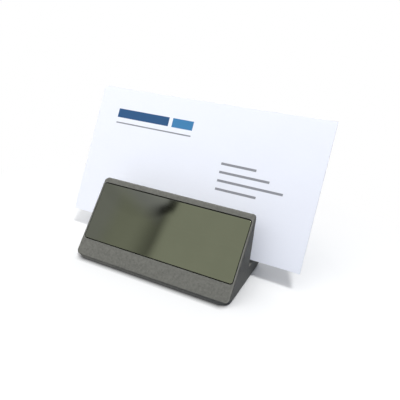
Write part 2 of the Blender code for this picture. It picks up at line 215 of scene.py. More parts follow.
class StageSettings(bpy.types.PropertyGroup):
    turn: angle("Turn", "How far the camera stands round to the right", 22.793)
    tilt: angle("Tilt", "How far the camera looks down", 20.961)
    roll: angle("Roll", "How far the camera leans", 5.737)
    across: length("Across", "Camera's place along its own right", 0.010530)
    above: length("Above", "Camera's place along its own up", 0.021088)
    distance: length("Distance", "Camera's distance along its view", 0.147133)
    lens: amount("Lens", "Focal length in mm", 37.229, "CAMERA")
    key: place("Key lamp", "Where the key lamp hangs", (0.187, -0.186, 0.600))
    key_size: length("Key size", "Width of the key lamp", 0.110)
    key_power: amount("Key power", "Power of the key lamp", 2.46, "POWER")
    fill: place("Fill lamp", "Where the soft fill stands", (-0.12, -0.20, 0.320))
    fill_size: length("Fill size", "Width of the soft fill", 0.50)
    fill_power: amount("Fill power", "Power of the soft fill", 0.80, "POWER")
    surroundings: share("Surroundings", "Light of the surroundings, where 1 is white", 0.66)
    dim_right: share("Dim right", "How much darker the surroundings are on the right", 1.0)
    dim_left: share("Dim left", "How much darker the surroundings are on the left", 0.35)
    glow_back: amount("Glow behind", "How much brighter the surroundings are behind the stand", 4.6)
    glow_fade: share("Glow fade", "How much of the glow behind is lost on the left", 0.75)
    cool: colour("Cool", "Tint of the surroundings on the right", (0.70, 0.82, 1.0))
    floor: colour("Floor", "Colour of the floor", (0.74, 0.742, 0.745))
    pale: colour("Pale", "Colour of what the floor throws back on the left", (0.52, 0.52, 0.53))
    bounce: colour("Bounce", "Colour of what the floor throws back on the right", (0.08, 0.104, 0.172))
    contact: length("Contact shade", "How far the shade reaches where stand and floor touch", 0.0026)
    lit_radius: length("Lit radius", "How far from the stand the floor shows its own shade", 0.060)


class StandSettings(bpy.types.PropertyGroup):
    casting: PointerProperty(type=CastingSettings)
    plate: PointerProperty(type=PlateSettings)
    liners: PointerProperty(type=LinerSettings)
    base: PointerProperty(type=BaseSettings)
    card: PointerProperty(type=CardSettings)
    stage: PointerProperty(type=StageSettings)


# Node trees


class Field:
    """An output socket on which Python arithmetic adds the Math nodes."""

    def __init__(self, wiring, socket):
        self.wiring = wiring
        self.socket = socket

    def __add__(self, other):
        return self.wiring.math("ADD", self, other)

    def __sub__(self, other):
        return self.wiring.math("SUBTRACT", self, other)

    def __rsub__(self, other):
        return self.wiring.math("SUBTRACT", other, self)

    def __mul__(self, other):
        return self.wiring.math("MULTIPLY", self, other)

    def __truediv__(self, other):
        return self.wiring.math("DIVIDE", self, other)

    def __rtruediv__(self, other):
        return self.wiring.math("DIVIDE", other, self)

    __radd__ = __add__
    __rmul__ = __mul__


class Wiring:
    """Adds nodes to a material, world or geometry tree."""

    def __init__(self, tree):
        self.tree = tree
        tree.nodes.clear()

    def node(self, kind, settings=None, inputs=None):
        """A node with its settings set first, and then its sockets, to values or links."""
        made = self.tree.nodes.new(kind)
        for name, value in (settings or {}).items():
            if name == "stops":
                for spare in range(len(value) - 2):
                    made.color_ramp.elements.new(0.5)
                for element, (position, tone) in zip(made.color_ramp.elements, value):
                    element.position = position
                    element.color = (tone, tone, tone, 1)
            else:
                setattr(made, name, value)
        for name, value in (inputs or {}).items():
            for link in value if isinstance(value, list) else [value]:
                if isinstance(link, Field):
                    self.tree.links.new(link.socket, made.inputs[name])
                elif link is not None:
                    made.inputs[name].default_value = link
        return made

    def field(self, kind, settings=None, inputs=None, output=0):
        return Field(self, self.node(kind, settings, inputs).outputs[output])

    def math(self, operation, first, second=None, clamp=False):
        settings = {"operation": operation, "use_clamp": clamp}
        return self.field("ShaderNodeMath", settings, {0: first, 1: second})

    def onward(self, value, start, width):
        """0 up to start, and then evenly up to 1 over width."""
        return self.math("DIVIDE", value - start, width, clamp=True)

    def within(self, value, low, high, soft):
        """1 where value lies between low and high, with soft borders, and 0 elsewhere."""
        rise = self.math("ADD", (value - low) / soft, 0.5, clamp=True)
        fall = self.math("ADD", (high - value) / soft, 0.5, clamp=True)
        return rise * fall

    def ramp(self, factor, stops):
        return self.field("ShaderNodeValToRGB", {"stops": stops}, {"Fac": factor})

    def blend(self, factor, first, second):
        """Colour that goes from first to second as factor goes from 0 to 1."""
        return self.field("ShaderNodeMix", {"data_type": "RGBA"}, {0: factor, 6: first, 7: second}, 2)

    def tint(self, tone, level):
        """Colour multiplied by a grey level."""
        settings = {"data_type": "RGBA", "blend_type": "MULTIPLY"}
        return self.field("ShaderNodeMix", settings, {0: 1.0, 6: tone, 7: level}, 2)

    def split(self, vector):
        parts = self.node("ShaderNodeSeparateXYZ", None, {0: vector})
        return [Field(self, parts.outputs[axis]) for axis in range(3)]

    def noise(self, vector, size, detail, rough, stretch=None):
        """Noise whose features are about size wide."""
        if stretch:
            stretching = {0: vector, 1: stretch}
            vector = self.field("ShaderNodeVectorMath", {"operation": "MULTIPLY"}, stretching)
        inputs = {"Vector": vector, "Scale": 0.5 / size, "Detail": detail, "Roughness": rough}
        return self.field("ShaderNodeTexNoise", None, inputs)

    def bump(self, height, depth, strength=1.0, below=None):
        inputs = {"Height": height, "Distance": depth, "Strength": strength, "Normal": below}
        return self.field("ShaderNodeBump", None, inputs)


def rgba(tone):
    return (*tone[:3], 1.0)


def finish(name, wire):
    """Material whose Principled BSDF takes what wire(wiring, object coordinates) returns."""
    material = bpy.data.materials.new(name)
    material.use_nodes = True
    wiring = Wiring(material.node_tree)
    coordinates = wiring.field("ShaderNodeTexCoord", output="Object")
    shader = wiring.field("ShaderNodeBsdfPrincipled", None, wire(wiring, coordinates))
    wiring.node("ShaderNodeOutputMaterial", None, {"Surface": shader})
    return material


def cast_gunmetal(settings):
    """Satin gunmetal paint over a sandy casting, rubbed a little brighter on its edges."""
    speck_width, fine_width = settings.grain * 0.55, settings.grain * 0.2
    patch_width, rub_width = 6 * MM, 1.2 * MM
    rub_stops = [(0.35, 0.25), (0.65, 0.75)]

    def wire(wiring, at):
        grain = wiring.noise(at, settings.grain, 2.0, 0.6)
        speck = wiring.noise(at, speck_width, 1.0, 0.5)
        fine = wiring.noise(at, fine_width, 2.0, 0.6)
        patches = wiring.noise(at, patch_width, 2.0, 0.5)
        edge = wiring.field("ShaderNodeAttribute", {"attribute_name": "edge"}, output="Fac")
        rubbed = edge * wiring.ramp(wiring.noise(at, rub_width, 3.0, 0.6), rub_stops)
        level = 0.34 + grain * 0.60 + speck * 0.30 + patches * 0.16 + fine * 0.26
        paint = wiring.tint(rgba(settings.paint), level)
        return {
            "Base Color": wiring.blend(rubbed, paint, rgba(settings.worn)),
            "Metallic": settings.metallic,
            "Specular IOR Level": settings.specular,
            "Roughness": settings.roughness - 0.08 + grain * 0.14 - rubbed * 0.1,
            "Normal": wiring.bump(grain + speck * 0.5 + fine * 0.3, settings.grain_depth),
        }

    return finish("cast_gunmetal", wire)


def polished_black_nickel(settings):
    """Dark olive mirror with fine wiping marks, faint smudges and a barely uneven surface."""
    wipe_width, wipe_depth = 0.25 * MM, 0.0002 * MM
    wave_width, wave_depth = 9 * MM, 0.02 * MM
    smudge_width, smudge_stops = 5 * MM, [(0.42, 0.0), (0.72, 1.0)]

    def wire(wiring, at):
        wiping = wiring.noise(at, wipe_width, 3.0, 0.6, stretch=(0.06, 1.0, 1.0))
        smudge = wiring.ramp(wiring.noise(at, smudge_width, 3.0, 0.55), smudge_stops)
        waves = wiring.noise(at, wave_width, 1.0, 0.4)
        level = 0.94 + wiping * 0.06 + smudge * 0.04
        return {
            "Base Color": wiring.tint(rgba(settings.metal), level),
            "Metallic": 1.0,
            "Roughness": settings.roughness + smudge * 0.03 + wiping * 0.01,
            "Normal": wiring.bump(waves, wave_depth, 1.0, wiring.bump(wiping, wipe_depth)),
        }

    return finish("polished_black_nickel", wire)


def tape(settings):
    """Double-sided tape, fibrous and slightly blotchy."""
    fibre_width, fibre_depth = 0.3 * MM, 0.01 * MM

    def wire(wiring, at):
        fibre = wiring.noise(at, fibre_width, 4.0, 0.65, stretch=(0.3, 1.0, 1.0))
        return {
            "Base Color": wiring.tint(rgba(settings.tape), 0.85 + fibre * 0.25),
            "Roughness": 0.5 + fibre * 0.2,
            "Normal": wiring.bump(fibre, fibre_depth),
        }

    return finish("tape", wire)


def liner_foam(settings):
    """Black closed-cell foam: round cells with thin walls, matt and slightly dusty."""
    cell_depth = 0.06 * MM
    dust_width, dust_stops, dust_share = 2.5 * MM, [(0.45, 0.0), (0.75, 1.0)], 0.12

    def wire(wiring, at):
        cells = {"Vector": at, "Scale": 1 / settings.cell}
        cell = wiring.field("ShaderNodeTexVoronoi", {"feature": "F1"}, cells)
        dust = wiring.ramp(wiring.noise(at, dust_width, 4.0, 0.6), dust_stops)
        tone = wiring.tint(rgba(settings.foam), 0.75 + cell * 0.5)
        return {
            "Base Color": wiring.blend(dust * dust_share, tone, rgba(settings.dust)),
            "Roughness": 0.82 + dust * 0.1,
            "Normal": wiring.bump(cell, cell_depth, 0.8),
        }

    return finish("liner_foam", wire)


def pad_rubber(settings):
    """Black rubber sheet with a fine diamond grip pattern, mould bloom and a paler cut edge."""
    # The grip's waves turn by this many radians in a metre
    grip_rate, grip_depth = 5200.0, 0.03 * MM
    bloom_width = 3 * MM
    fine_width, fine_depth = 0.12 * MM, 0.008 * MM
    cut_band = (0.1 * MM, 0.7 * MM, 0.1 * MM)

    def wire(wiring, at):
        x, y, z = wiring.split(at)
        first = wiring.math("SINE", (x + y) * grip_rate)
        second = wiring.math("SINE", (x - y) * grip_rate)
        grip = first * second
        bloom = wiring.noise(at, bloom_width, 4.0, 0.6)
        fine = wiring.noise(at, fine_width, 2.0, 0.5)
        cut = wiring.within(z, *cut_band)
        tone = wiring.blend(cut, rgba(settings.rubber), rgba(settings.rubber_edge))
        return {
            "Base Color": wiring.tint(tone, 0.7 + bloom * 0.5 + fine * 0.1),
            "Roughness": 0.74 + bloom * 0.14,
            "Normal": wiring.bump(fine, fine_depth, 1.0, wiring.bump(grip, grip_depth)),
        }

    return finish("pad_rubber", wire)


def steel_plate(settings):
    """Cold-rolled steel: long rolling marks along the plate and light oil stains."""
    mark_width, mark_depth = 0.12 * MM, 0.004 * MM
    stain_width = 7 * MM

    def wire(wiring, at):
        rolled = wiring.noise(at, mark_width, 4.0, 0.65, stretch=(0.03, 1.0, 1.0))
        stain = wiring.noise(at, stain_width, 3.0, 0.6)
        return {
            "Base Color": wiring.tint(rgba(settings.steel), 0.72 + rolled * 0.3 + stain * 0.16),
            "Metallic": 1.0,
            "Roughness": 0.3 + rolled * 0.18,
            "Normal": wiring.bump(rolled, mark_depth),
        }

    return finish("steel_plate", wire)


def zinc_plated_steel(settings):
    """Bright zinc plating with a fine crystalline mottle and warmer patches."""
    crystal_width, crystal_depth = 0.2 * MM, 0.004 * MM
    warm_width, warm_share = 1.5 * MM, 0.35

    def wire(wiring, at):
        crystal = wiring.noise(at, crystal_width, 2.0, 0.5)
        warm = wiring.noise(at, warm_width, 2.0, 0.5)
        plated = wiring.tint(rgba(settings.zinc), 0.82 + crystal * 0.24)
        return {
            "Base Color": wiring.blend(warm * warm_share, plated, rgba(settings.warm_zinc)),
            "Metallic": 1.0,
            "Roughness": 0.24 + crystal * 0.16,
            "Normal": wiring.bump(crystal, crystal_depth),
        }

    return finish("zinc_plated_steel", wire)


def card_stock(settings, width, height):
    """Smooth white card with a generic print of plain bars and lines, on the front only."""
    fibre_width, fibre_depth, cloud_width = 0.35 * MM, 0.004 * MM, 5 * MM
    crisp = 0.06 * MM
    # Left, low, right and high side in mm, from the card's lower left corner
    long_bar, short_bar = (9.0, 38.6, 31.0, 42.0), (32.5, 38.6, 41.0, 42.0)
    thin_line = (9.0, 36.3, 41.0, 36.8)
    rows_low, rows_high, rows_left = 19.0 * MM, 31.0 * MM, 55.0 * MM
    row_pitch, line_low, line_high = 3.0 * MM, 0.9 * MM, 1.75 * MM
    shortest, spread = 12 * MM, 14 * MM
    line_ink = 0.85

    def wire(wiring, at):
        across, up = wiring.split(wiring.field("ShaderNodeUVMap", {"uv_map": "card"}))[:2]
        across, up = across * width, up * height
        fibre = wiring.noise(at, fibre_width, 4.0, 0.65, stretch=(0.6, 1.0, 1.0))
        cloud = wiring.noise(at, cloud_width, 2.0, 0.5)

        def bar(*sides):
            left, low, right, high = [side * MM for side in sides]
            return wiring.within(across, left, right, crisp) * wiring.within(up, low, high, crisp)

        row = wiring.math("FLOOR", (up - rows_low) / row_pitch)
        in_row = (up - rows_low) - row * row_pitch
        # A different length for each row, spread by the golden ratio
        reach = shortest + wiring.math("FRACT", row * 0.618 + 0.21) * spread
        lines = wiring.within(in_row, line_low, line_high, crisp)
        lines = lines * wiring.within(up, rows_low, rows_high, crisp)
        lines = lines * wiring.within(across, rows_left, rows_left + reach, crisp)
        lines = (lines + bar(*thin_line)) * line_ink
        front = wiring.field("ShaderNodeAttribute", {"attribute_name": "printed"}, output="Fac")

        tone = wiring.tint(rgba(settings.paper), 0.975 + fibre * 0.03 + cloud * 0.02)
        tone = wiring.blend(lines * front, tone, rgba(settings.grey_ink))
        tone = wiring.blend(bar(*long_bar) * front, tone, rgba(settings.dark_ink))
        tone = wiring.blend(bar(*short_bar) * front, tone, rgba(settings.light_ink))
        return {
            "Base Color": tone,
            "Specular IOR Level": settings.shine,
            "Roughness": 0.5 + fibre * 0.1,
            "Normal": wiring.bump(fibre, fibre_depth),
        }

    return finish("card_stock", wire)


# Meshes


def placed(name, data):
    """New object in the scene."""
    made = bpy.data.objects.new(name, data)
    bpy.context.scene.collection.objects.link(made)
    return made


def to_mesh(name, solid):
    """Plain mesh of an edit mesh, which is freed."""
    mesh = bpy.data.meshes.new(name)
    solid.to_mesh(mesh)
    solid.free()
    return mesh


def corners_of(points):
    """Lowest and highest corner of the box round some points."""
    axes = list(zip(*points))
    return Vector([min(axis) for axis in axes]), Vector([max(axis) for axis in axes])


def show(name, mesh, material, slot, body, *nodes):
    """Adds a finished piece, which rides on a body and stands for CAD nodes."""
    mesh.materials.clear()
    mesh.materials.append(material)
    made = placed(name, mesh)
    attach(made, body)
    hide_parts(*nodes)


def modified(name, mesh, steps):
    """Mesh that a list of (modifier type, settings) leaves of a mesh, with nothing live on it."""
    holder = placed(name + "_bench", mesh)
    for kind, settings in steps:
        modifier = holder.modifiers.new(kind, kind)
        for key, value in settings.items():
            if kind == "NODES" and key != "node_group":
                modifier[socket_identifier(modifier.node_group, key)] = value
            else:
                setattr(modifier, key, value)
    evaluated = holder.evaluated_get(bpy.context.evaluated_depsgraph_get())
    result = bpy.data.meshes.new_from_object(evaluated)
    result.name = name
    bpy.data.objects.remove(holder)
    return result


def eased(edge, steps):
    """Step for modified() that rounds every edge where a surface turns sharply."""
    turn = radians(60)
    return "BEVEL", {"width": edge, "segments": steps, "limit_method": "ANGLE", "angle_limit": turn}


def socket_identifier(tree, name):
    for item in tree.interface.items_tree:
        if item.item_type == "SOCKET" and item.in_out == "INPUT" and item.name == name:
            return item.identifier
    raise KeyError(f"the tree {tree.name} has no input {name}")


def smooth_normals(mesh, name, sharp=40):
    """Copy of a mesh shaded round, with its flat faces kept flat."""
    mesh.shade_smooth()
    mesh.set_sharp_from_angle(angle=radians(sharp))
    return modified(name, mesh, [("WEIGHTED_NORMAL", {"keep_sharp": True, "weight": 90})])


def merged(node):
    """Welded mesh in edit form of a CAD node, with each flat face made whole."""
    solid = bmesh.new()
    solid.from_mesh(NODES[node].data)
    bmesh.ops.remove_doubles(solid, verts=solid.verts, dist=MERGE)
    bmesh.ops.dissolve_limit(solid, angle_limit=radians(0.5), verts=solid.verts, edges=solid.edges)
    return solid


def flat_shape(node):
    """Where a flat CAD piece lies (its middle, with w out of its broad face), its size and its
    corner radius, measured on the piece."""
    mesh = NODES[node].data
    # Of two broad faces alike, the one that looks up is taken
    favour = 0.01
    broad = max(mesh.polygons, key=lambda face: face.area * (1 + favour * face.normal.z))
    normal = broad.normal.copy()
    across = Vector((1, 0, 0))
    upward = normal.cross(across).normalized()
    axes = Matrix((across, upward, normal))
    points = [axes @ vertex.co for vertex in mesh.vertices]
    low, high = corners_of(points)
    top_reach = max(point.x for point in points if point.y > high.y - 2 * MERGE)
    middle = axes.transposed() @ ((low + high) / 2)
    return Matrix.Translation(middle) @ axes.transposed().to_4x4(), high - low, high.x - top_reach


def start_tree(name, lengths, number):
    """Geometry tree with inputs for lengths, one whole number and a material, its wiring and those."""
    tree = bpy.data.node_groups.new(name, "GeometryNodeTree")
    kinds = {**dict.fromkeys(lengths, "Float"), number: "Int", "Material": "Material"}
    for given_name, kind in kinds.items():
        tree.interface.new_socket(given_name, in_out="INPUT", socket_type="NodeSocket" + kind)
    tree.interface.new_socket("Geometry", in_out="OUTPUT", socket_type="NodeSocketGeometry")
    wiring = Wiring(tree)
    given = wiring.node("NodeGroupInput")
    return tree, wiring, {item: Field(wiring, given.outputs[item]) for item in kinds}


def end_tree(wiring, shape, material):
    """Makes a tree's shape real, gives it its material and puts it out."""
    whole = wiring.field("GeometryNodeRealizeInstances", None, {"Geometry": shape})
    painted = wiring.field("GeometryNodeSetMaterial", None, {"Geometry": whole, "Material": material})
    wiring.node("NodeGroupOutput", None, {"Geometry": painted})


def slab_tree():
    """Geometry nodes for a flat piece: a rounded rectangle, filled and given its thickness."""
    lengths = ("Width", "Height", "Thickness", "Corner radius")
    tree, wiring, given = start_tree("Rounded slab", lengths, "Corner steps")
    width, height, thickness, radius, steps, material = given.values()
    sides = {"Width": width, "Height": height}
    outline = wiring.field("GeometryNodeCurvePrimitiveQuadrilateral", None, sides)
    corners = {"Curve": outline, "Radius": radius, "Count": steps}
    rounded = wiring.field("GeometryNodeFilletCurve", {"mode": "POLY"}, corners)
    sheet = wiring.field("GeometryNodeFillCurve", {"mode": "NGONS"}, {"Curve": rounded})
    raised = wiring.field("GeometryNodeExtrudeMesh", None, {
        "Mesh": sheet,
        "Offset": wiring.field("ShaderNodeCombineXYZ", None, {"Z": thickness}),
        "Offset Scale": 1.0,
        "Individual": False,
    })
    underside = wiring.field("GeometryNodeFlipFaces", None, {"Mesh": sheet})
    joined = wiring.field("GeometryNodeJoinGeometry", None, {"Geometry": [underside, raised]})
    closed = wiring.field("GeometryNodeMergeByDistance", None, {"Geometry": joined, "Distance": MERGE})
    drop = wiring.field("ShaderNodeCombineXYZ", None, {"Z": thickness * -0.5})
    centred = wiring.field("GeometryNodeTransform", None, {"Geometry": closed, "Translation": drop})
    end_tree(wiring, centred, material)
    return tree


def slab(node, material, edge, edge_steps, name):
    """A flat CAD piece made again with smooth corners and softly rounded edges."""
    placement, size, radius = flat_shape(node)
    least_radius = 0.2 * MM
    tree = bpy.data.node_groups.get("Rounded slab") or slab_tree()
    made = modified(name, bpy.data.meshes.new(name + "_seed"), [
        ("NODES", {
            "node_group": tree,
            "Width": size.x,
            "Height": size.y,
            "Thickness": size.z,
            "Corner radius": max(radius, least_radius),
            "Corner steps": CORNER_STEPS,
            "Material": material,
        }),
        eased(edge, edge_steps),
    ])
    made.transform(placement)
    return smooth_normals(made, name)


def mark_edges(mesh, narrow):
    """Attribute that is 1 along the middle of rounded edges and 0 on the broad faces."""
    slim = []
    for face in mesh.polygons:
        corners = [mesh.vertices[index].co for index in face.vertices]
        longest = max((corners[i] - corners[i - 1]).length for i in range(len(corners)))
        slim.append(face.area / longest < narrow)
    broad = set()
    for face, is_slim in zip(mesh.polygons, slim):
        if not is_slim:
            broad.update(face.vertices)
    attribute = mesh.attributes.new("edge", "FLOAT", "POINT")
    values = [float(index not in broad) for index in range(len(mesh.vertices))]
    attribute.data.foreach_set("value", values)


# Operators


class DressCasting(bpy.types.Operator):
    """Dress the cast wedge: broken recess rim, smooth shading, sandy satin paint and worn edges"""

    bl_idname = "desk_stand.dress_casting"
    bl_label = "Casting"

    def execute(self, context):
        settings = context.scene.desk_stand.casting
        solid = merged("body_casting")
        slope = flat_shape("face_plate")[0].to_3x3().col[2]
        slope_height = max(vertex.co.dot(slope) for vertex in solid.verts) - 10 * MERGE
        on_slope = {
            face for face in solid.faces
            if face.normal.dot(slope) > PARALLEL and face.verts[0].co.dot(slope) > slope_height
        }
        sharp = radians(80)
        rim = [
            edge for edge in solid.edges
            if any(face in on_slope for face in edge.link_faces)
            and edge.is_convex
            and edge.calc_face_angle(0) > sharp
        ]
        if not rim:
            raise RuntimeError("no recess rim was found on the casting's slope")
        bmesh.ops.bevel(
            solid, geom=rim, offset=settings.rim_ease, segments=2, profile=0.5, affect="EDGES",
            clamp_overlap=False,
        )
        mesh = to_mesh("casting", solid)
        mark_edges(mesh, settings.narrow)
        mesh = smooth_normals(mesh, "casting")
        show("casting", mesh, cast_gunmetal(settings), "cast_gunmetal", "holder", "body_casting")
        return {"FINISHED"}


class DressPlate(bpy.types.Operator):
    """Dress the polished front plate and the tape behind it"""

    bl_idname = "desk_stand.dress_plate"
    bl_label = "Polished plate"

    def execute(self, context):
        settings = context.scene.desk_stand.plate
        metal = polished_black_nickel(settings)
        mesh = slab("face_plate", metal, settings.edge, 5, "mirror_plate")
        show("mirror_plate", mesh, metal, "polished_black_nickel", "holder", "face_plate")
        sticky = tape(settings)
        mesh = slab("face_plate_adhesive", sticky, settings.tape_edge, 2, "plate_tape")
        show("plate_tape", mesh, sticky, "tape", "holder", "face_plate_adhesive")
        return {"FINISHED"}


class DressLiners(bpy.types.Operator):
    """Dress the two soft strips that line the slot"""

    bl_idname = "desk_stand.dress_liners"
    bl_label = "Slot liners"

    def execute(self, context):
        settings = context.scene.desk_stand.liners
        foam = liner_foam(settings)
        for node, name in (("slot_floor_liner", "floor_liner"), ("slot_rear_liner", "rear_liner")):
            mesh = slab(node, foam, settings.edge, 4, name)
            show(name, mesh, foam, "liner_foam", "holder", node)
        return {"FINISHED"}


def screw_tree():
    """Geometry nodes for countersunk screws on a grid: head, threaded shank and cross recess."""
    lengths = (
        "Across", "Deep", "Head radius", "Head land", "Head height", "Shank radius", "Length",
        "Thread pitch", "Drive width", "Drive length", "Drive depth",
    )
    tree, wiring, size = start_tree("Screw set", lengths, "Seed")

    def moved(shape, height):
        lift = wiring.field("ShaderNodeCombineXYZ", None, {"Z": height})
        return wiring.field("GeometryNodeTransform", None, {"Geometry": shape, "Translation": lift})

    def turned(low_radius, high_radius, low, high):
        cone = wiring.field("GeometryNodeMeshCone", None, {
            "Vertices": 32,
            "Radius Bottom": low_radius,
            "Radius Top": high_radius,
            "Depth": high - low,
        })
        return moved(cone, low)

    def boolean(operation, inputs):
        settings = {"operation": operation, "solver": "EXACT"}
        return wiring.field("GeometryNodeMeshBoolean", settings, inputs)

    def slot(long_way, wide_way):
        sides = {"X": long_way, "Y": wide_way, "Z": size["Drive depth"] * 2}
        extent = wiring.field("ShaderNodeCombineXYZ", None, sides)
        return wiring.field("GeometryNodeMeshCube", None, {"Size": extent})

    root = size["Shank radius"] * 0.86
    tip_radius, tip_start = root * 0.55, size["Length"] - root * 0.4
    thread_start = size["Head height"] + root * 0.3
    thread_height = size["Length"] - size["Head height"] - root * 0.9
    most_turn = 1.5
    head = turned(size["Head radius"], size["Head radius"], 0.0, size["Head land"])
    sink = turned(size["Head radius"], root, size["Head land"], size["Head height"])
    shank = turned(root, root, size["Head height"], tip_start)
    tip = turned(root, tip_radius, tip_start, size["Length"])
    spiral = wiring.field("GeometryNodeCurveSpiral", None, {
        "Resolution": 24,
        "Rotations": thread_height / size["Thread pitch"],
        "Start Radius": root,
        "End Radius": root,
        "Height": thread_height,
    })
    tooth = wiring.field("GeometryNodeCurvePrimitiveCircle", {"mode": "RADIUS"}, {
        "Resolution": 4,
        "Radius": size["Shank radius"] - root,
    })
    ridge = wiring.field("GeometryNodeCurveToMesh", None, {
        "Curve": spiral,
        "Profile Curve": tooth,
        "Fill Caps": True,
    })
    ridge = moved(ridge, thread_start)
    solid = boolean("UNION", {"Mesh 2": [head, sink, shank, tip, ridge]})
    cross = [
        slot(size["Drive length"], size["Drive width"]),
        slot(size["Drive width"], size["Drive length"]),
    ]
    solid = boolean("DIFFERENCE", {"Mesh 1": solid, "Mesh 2": cross})
    spots = wiring.field("GeometryNodeMeshGrid", None, {
        "Size X": size["Across"],
        "Size Y": size["Deep"],
        "Vertices X": 2,
        "Vertices Y": 2,
    })
    turn = wiring.field("FunctionNodeRandomValue", {"data_type": "FLOAT"}, {
        2: 0.0,
        3: most_turn,
        "Seed": size["Seed"],
    }, 1)
    four = wiring.field("GeometryNodeInstanceOnPoints", None, {
        "Points": spots,
        "Instance": solid,
        "Rotation": wiring.field("ShaderNodeCombineXYZ", None, {"Z": turn}),
    })
    end_tree(wiring, four, size["Material"])
    return tree


class DressBase(bpy.types.Operator):
    """Dress the steel base plate and its four screws"""

    bl_idname = "desk_stand.dress_base"
    bl_label = "Base plate and screws"

    def execute(self, context):
        settings = context.scene.desk_stand.base
        mesh = smooth_normals(to_mesh("steel_base", merged("base_plate")), "steel_base")
        show("steel_base", mesh, steel_plate(settings), "steel_plate", "holder", "base_plate")

        screws = [f"base_screw_{number}" for number in range(1, 5)]
        boxes = [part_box(screw) for screw in screws]
        middles = [(low + high) / 2 for low, high in boxes]
        low, high = boxes[0]
        head_radius = (high.x - low.x) / 2
        zinc = zinc_plated_steel(settings)
        mesh = modified("screw_set", bpy.data.meshes.new("screw_seed"), [("NODES", {
            "node_group": screw_tree(),
            "Across": max(spot.x for spot in middles) - min(spot.x for spot in middles),
            "Deep": max(spot.y for spot in middles) - min(spot.y for spot in middles),
            "Head radius": head_radius,
            "Head land": settings.head_land,
            "Head height": settings.head_height,
            "Shank radius": settings.shank_radius,
            "Length": high.z - low.z,
            "Thread pitch": settings.thread_pitch,
            "Drive width": settings.drive_width,
            "Drive length": settings.drive_length,
            "Drive depth": settings.drive_depth,
            "Seed": settings.seed,
            "Material": zinc,
        })])
        centre = sum(middles, Vector()) / len(middles)
        mesh.transform(Matrix.Translation((centre.x, centre.y, low.z)))
        mesh = smooth_normals(mesh, "screw_set", 35)
        show("screw_set", mesh, zinc, "zinc_plated_steel", "holder", *screws)
        return {"FINISHED"}


class DressPad(bpy.types.Operator):
    """Dress the non-slip pad under the stand"""

    bl_idname = "desk_stand.dress_pad"
    bl_label = "Non-slip pad"

    def execute(self, context):
        settings = context.scene.desk_stand.base
        rubber = pad_rubber(settings)
        mesh = slab("base_pad", rubber, settings.pad_edge, 3, "grip_pad")
        show("grip_pad", mesh, rubber, "pad_rubber", "holder", "base_pad")
        return {"FINISHED"}


class DressCard(bpy.types.Operator):
    """Dress the card: a thin bowed sheet with a generic print"""

    bl_idname = "desk_stand.dress_card"
    bl_label = "Card"

    def execute(self, context):
        settings = context.scene.desk_stand.card
        edge = settings.thickness * 0.22
        # Faces that look out of the front by more than this are printed
        facing = 0.9
        across = Vector((1, 0, 0))
        outward = across.cross(CARD_UP)
        axes = Matrix((across, CARD_UP, outward))
        points = [axes @ vertex.co for vertex in NODES["business_card"].data.vertices]
        low, high = corners_of(points)
        width, height = high.x - low.x, high.y - low.y
        bow = high.z - low.z - settings.thickness

        sheet = bmesh.new()
        bmesh.ops.create_grid(sheet, x_segments=settings.columns, y_segments=settings.rows, size=0.5)
        layer = sheet.loops.layers.uv.new("card")
        for vertex in sheet.verts:
            u, v = vertex.co.x, vertex.co.y + 0.5
            vertex.co = Vector((
                (low.x + high.x) / 2 + u * width,
                low.y + v * height,
                low.z + settings.thickness / 2 + bow * (2 * u) ** 2,
            ))
        for face in sheet.faces:
            for corner in face.loops:
                spot = corner.vert.co
                corner[layer].uv = ((spot.x - low.x) / width, (spot.y - low.y) / height)
        mesh = modified("leaning_card", to_mesh("leaning_card_sheet", sheet), [
            ("SOLIDIFY", {"thickness": settings.thickness, "offset": 0.0}),
            eased(edge, 2),
        ])
        printed = mesh.attributes.new("printed", "FLOAT", "FACE")
        printed.data.foreach_set("value", [float(face.normal.z > facing) for face in mesh.polygons])
        mesh.transform(axes.transposed().to_4x4())
        mesh = smooth_normals(mesh, "leaning_card")
        paper = card_stock(settings, width, height)
        show("leaning_card", mesh, paper, "card_stock", "card", "business_card")
        return {"FINISHED"}


